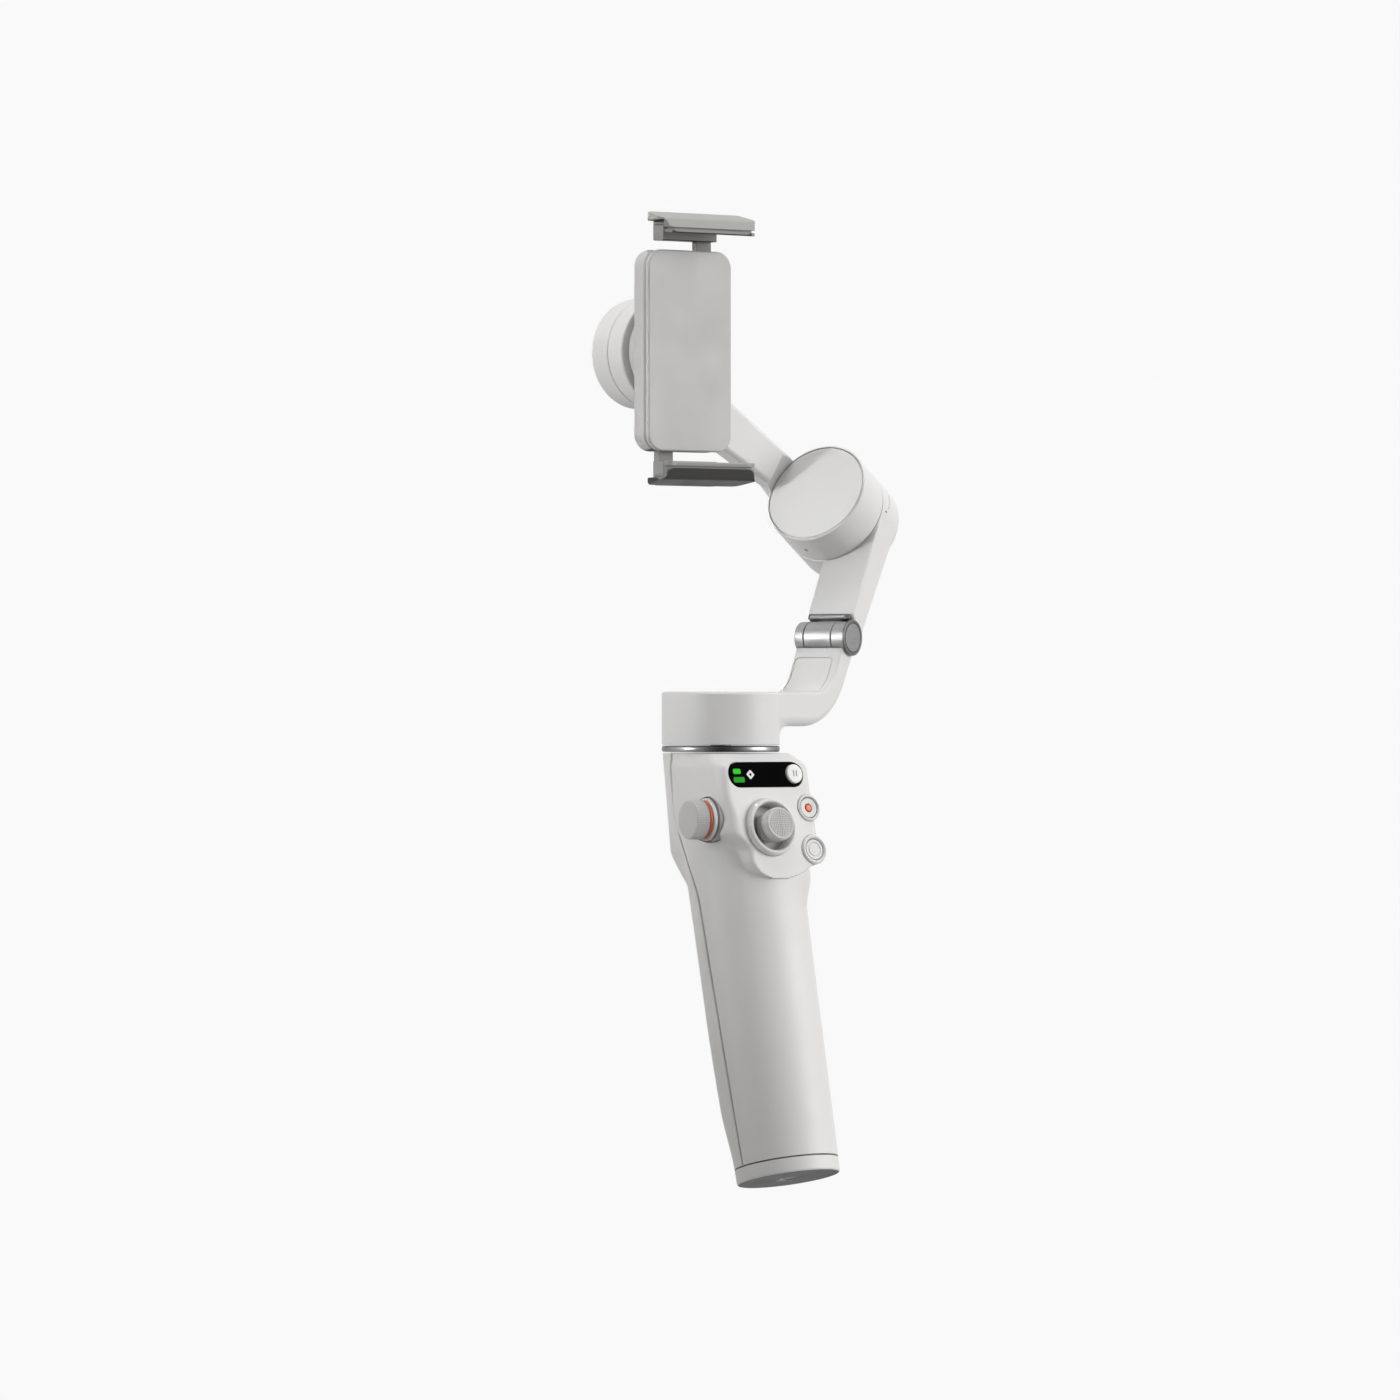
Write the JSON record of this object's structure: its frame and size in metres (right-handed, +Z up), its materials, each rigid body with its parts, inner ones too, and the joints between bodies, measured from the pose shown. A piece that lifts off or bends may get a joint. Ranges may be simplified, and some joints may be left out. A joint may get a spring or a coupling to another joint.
{
  "type": "gimbal stabilizer",
  "caption": "Folding three-axis handheld phone stabilizer: leaning grip with control panel and extension rod, pan, tilt and roll motors, hinged arm, magnetic spring clamp.",
  "frame": {"origin": "centre of the tripod socket in the underside of the handle", "axes": "+Z up along the pan axis, -Y towards the operator, +X to the operator's right"},
  "size_m": [0.1019, 0.087, 0.2803],
  "materials": {
    "body_plastic": "fine satin moulded plastic",
    "dark_plastic": "matte",
    "grey_plastic": "satin",
    "gloss_black": "gloss",
    "white_plastic": "satin",
    "orange_plastic": "satin",
    "steel": "satin",
    "polished": "polished",
    "jaw_metal": "satin metallic grey",
    "rubber": "soft matte",
    "board": "matte",
    "cell": "matte",
    "winding": "wound wire",
    "magnet": "plated"
  },
  "bodies": {
    "handle": {"front_shell": "body_plastic", "rear_shell": "body_plastic", "bottom_cap": "body_plastic", "tripod_insert": "steel", "status_window": "gloss_black", "main_board": "board", "battery_pack": "cell", "rod_guide": "dark_plastic", "joystick_bezel": "body_plastic", "joystick_base": "grey_plastic", "record_bezel": "body_plastic", "mode_bezel": "body_plastic", "usb_port": "steel", "wheel_collar": "grey_plastic", "trigger_pin": "steel"},
    "joystick_cross": {"joystick_yoke": "dark_plastic"},
    "joystick_stick": {"joystick_stem": "dark_plastic", "joystick_cap": "grey_plastic"},
    "record_key": {"record_button": "body_plastic", "record_dot": "orange_plastic"},
    "mode_key": {"mode_button": "body_plastic"},
    "switch_key": {"switch_button": "white_plastic"},
    "wheel_plunger": {"wheel_shaft": "steel"},
    "side_wheel": {"wheel_flange": "grey_plastic", "wheel_ring": "orange_plastic", "wheel_knob": "grey_plastic"},
    "trigger_lever": {"trigger": "grey_plastic"},
    "rod_stage_1": {"rod_outer": "steel"},
    "rod_stage_2": {"rod_middle": "steel"},
    "pan_base": {"rod_inner": "steel", "pan_collar": "polished", "pan_stator": "winding", "pan_bearing": "steel"},
    "pan_head": {"pan_arm": "body_plastic", "arm_cover": "body_plastic", "pan_magnets": "magnet", "knuckle_left": "steel", "knuckle_right": "steel", "hinge_pin": "steel"},
    "fold_arm": {"upper_arm": "body_plastic", "hinge_leaf": "steel", "tilt_stator": "winding", "tilt_shaft": "steel"},
    "tilt_head": {"tilt_arm": "body_plastic", "tilt_cap": "body_plastic", "tilt_magnets": "magnet", "roll_stator": "winding", "roll_bearing": "steel"},
    "roll_head": {"roll_rotor": "body_plastic", "roll_magnets": "magnet", "mount_magnet": "magnet"},
    "clamp": {"clamp_body": "grey_plastic", "clamp_cover": "grey_plastic", "clamp_puck": "grey_plastic"},
    "roller": {"sync_roller": "dark_plastic"},
    "upper_jaw": {"top_jaw": "jaw_metal", "top_pad": "rubber"},
    "lower_jaw": {"bottom_jaw": "jaw_metal", "bottom_pad": "rubber"}
  },
  "joints": [
    {"name": "joystick_pitch", "type": "hinge", "parent": "handle", "child": "joystick_cross", "pos_m": [-0.0012, 0.01271, 0.09864], "axis": [1, 0, 0], "range_deg": [-10, 10], "stiffness_Nm_per_rad": 0.02},
    {"name": "joystick_yaw", "type": "hinge", "parent": "joystick_cross", "child": "joystick_stick", "pos_m": [-0.0012, 0.01271, 0.09864], "axis": [0, 0.2351, 0.972], "range_deg": [-10, 10], "stiffness_Nm_per_rad": 0.02},
    {"name": "record_press", "type": "slide", "parent": "handle", "child": "record_key", "axis": [0, 0.972, -0.2351], "range_m": [0, 0.0006], "stiffness_N_per_m": 900},
    {"name": "mode_press", "type": "slide", "parent": "handle", "child": "mode_key", "axis": [0, 0.972, -0.2351], "range_m": [0, 0.0006], "stiffness_N_per_m": 900},
    {"name": "switch_press", "type": "slide", "parent": "handle", "child": "switch_key", "axis": [0, 0.972, -0.2351], "range_m": [0, 0.0005], "stiffness_N_per_m": 900},
    {"name": "wheel_press", "type": "slide", "parent": "handle", "child": "wheel_plunger", "axis": [0.9925, -0.122, 0], "range_m": [0, 0.0005], "stiffness_N_per_m": 1200},
    {"name": "wheel_spin", "type": "hinge", "parent": "wheel_plunger", "child": "side_wheel", "pos_m": [-0.0159, 0.017, 0.1022], "axis": [-0.9925, 0.122, 0], "continuous": true},
    {"name": "trigger_pull", "type": "hinge", "parent": "handle", "child": "trigger_lever", "pos_m": [0, 0.0436, 0.1126], "axis": [-1, 0, 0], "range_deg": [0, 8], "stiffness_Nm_per_rad": 0.6},
    {"name": "rod_slide_1", "type": "slide", "parent": "handle", "child": "rod_stage_1", "axis": [0, 0.2351, 0.972], "range_m": [0, 0.072]},
    {"name": "rod_slide_2", "type": "slide", "parent": "rod_stage_1", "child": "rod_stage_2", "axis": [0, 0.2351, 0.972], "range_m": [0, 0.072]},
    {"name": "rod_slide_3", "type": "slide", "parent": "rod_stage_2", "child": "pan_base", "axis": [0, 0.2351, 0.972], "range_m": [0, 0.071]},
    {"name": "pan", "type": "hinge", "parent": "pan_base", "child": "pan_head", "pos_m": [0, 0.032, 0.1234], "axis": [0, 0, 1], "range_deg": [-161, 173]},
    {"name": "fold", "type": "hinge", "parent": "pan_head", "child": "fold_arm", "pos_m": [0.04535, 0.04041, 0.1545], "axis": [0.3584, -0.9336, 0], "range_deg": [0, 50]},
    {"name": "tilt", "type": "hinge", "parent": "fold_arm", "child": "tilt_head", "pos_m": [0.04957, 0.05103, 0.1973], "axis": [-0.8165, -0.3134, 0.4848], "range_deg": [-101, 78]},
    {"name": "roll", "type": "hinge", "parent": "tilt_head", "child": "roll_head", "pos_m": [-0.006, 0.0572, 0.2369], "axis": [0, -1, 0], "range_deg": [-120, 212]},
    {"name": "clamp_release", "type": "slide", "parent": "roll_head", "child": "clamp", "axis": [0, -1, 0], "range_m": [0, 0.03]},
    {"name": "jaw_open", "type": "slide", "parent": "clamp", "child": "upper_jaw", "axis": [0, 0, 1], "range_m": [-0.00225, 0.00625], "stiffness_N_per_m": 500},
    {"name": "jaw_follow", "type": "slide", "parent": "clamp", "child": "lower_jaw", "axis": [0, 0, -1], "range_m": [-0.00225, 0.00625]},
    {"name": "roller_turn", "type": "hinge", "parent": "clamp", "child": "roller", "pos_m": [-0.006, 0.041, 0.2369], "axis": [0, -1, 0], "range_deg": [-32, 86]}
  ],
  "couplings": [
    {"joint": "jaw_follow", "follows": "jaw_open", "ratio": 1},
    {"joint": "roller_turn", "follows": "jaw_open", "rad_per_m": 235.29}
  ]
}
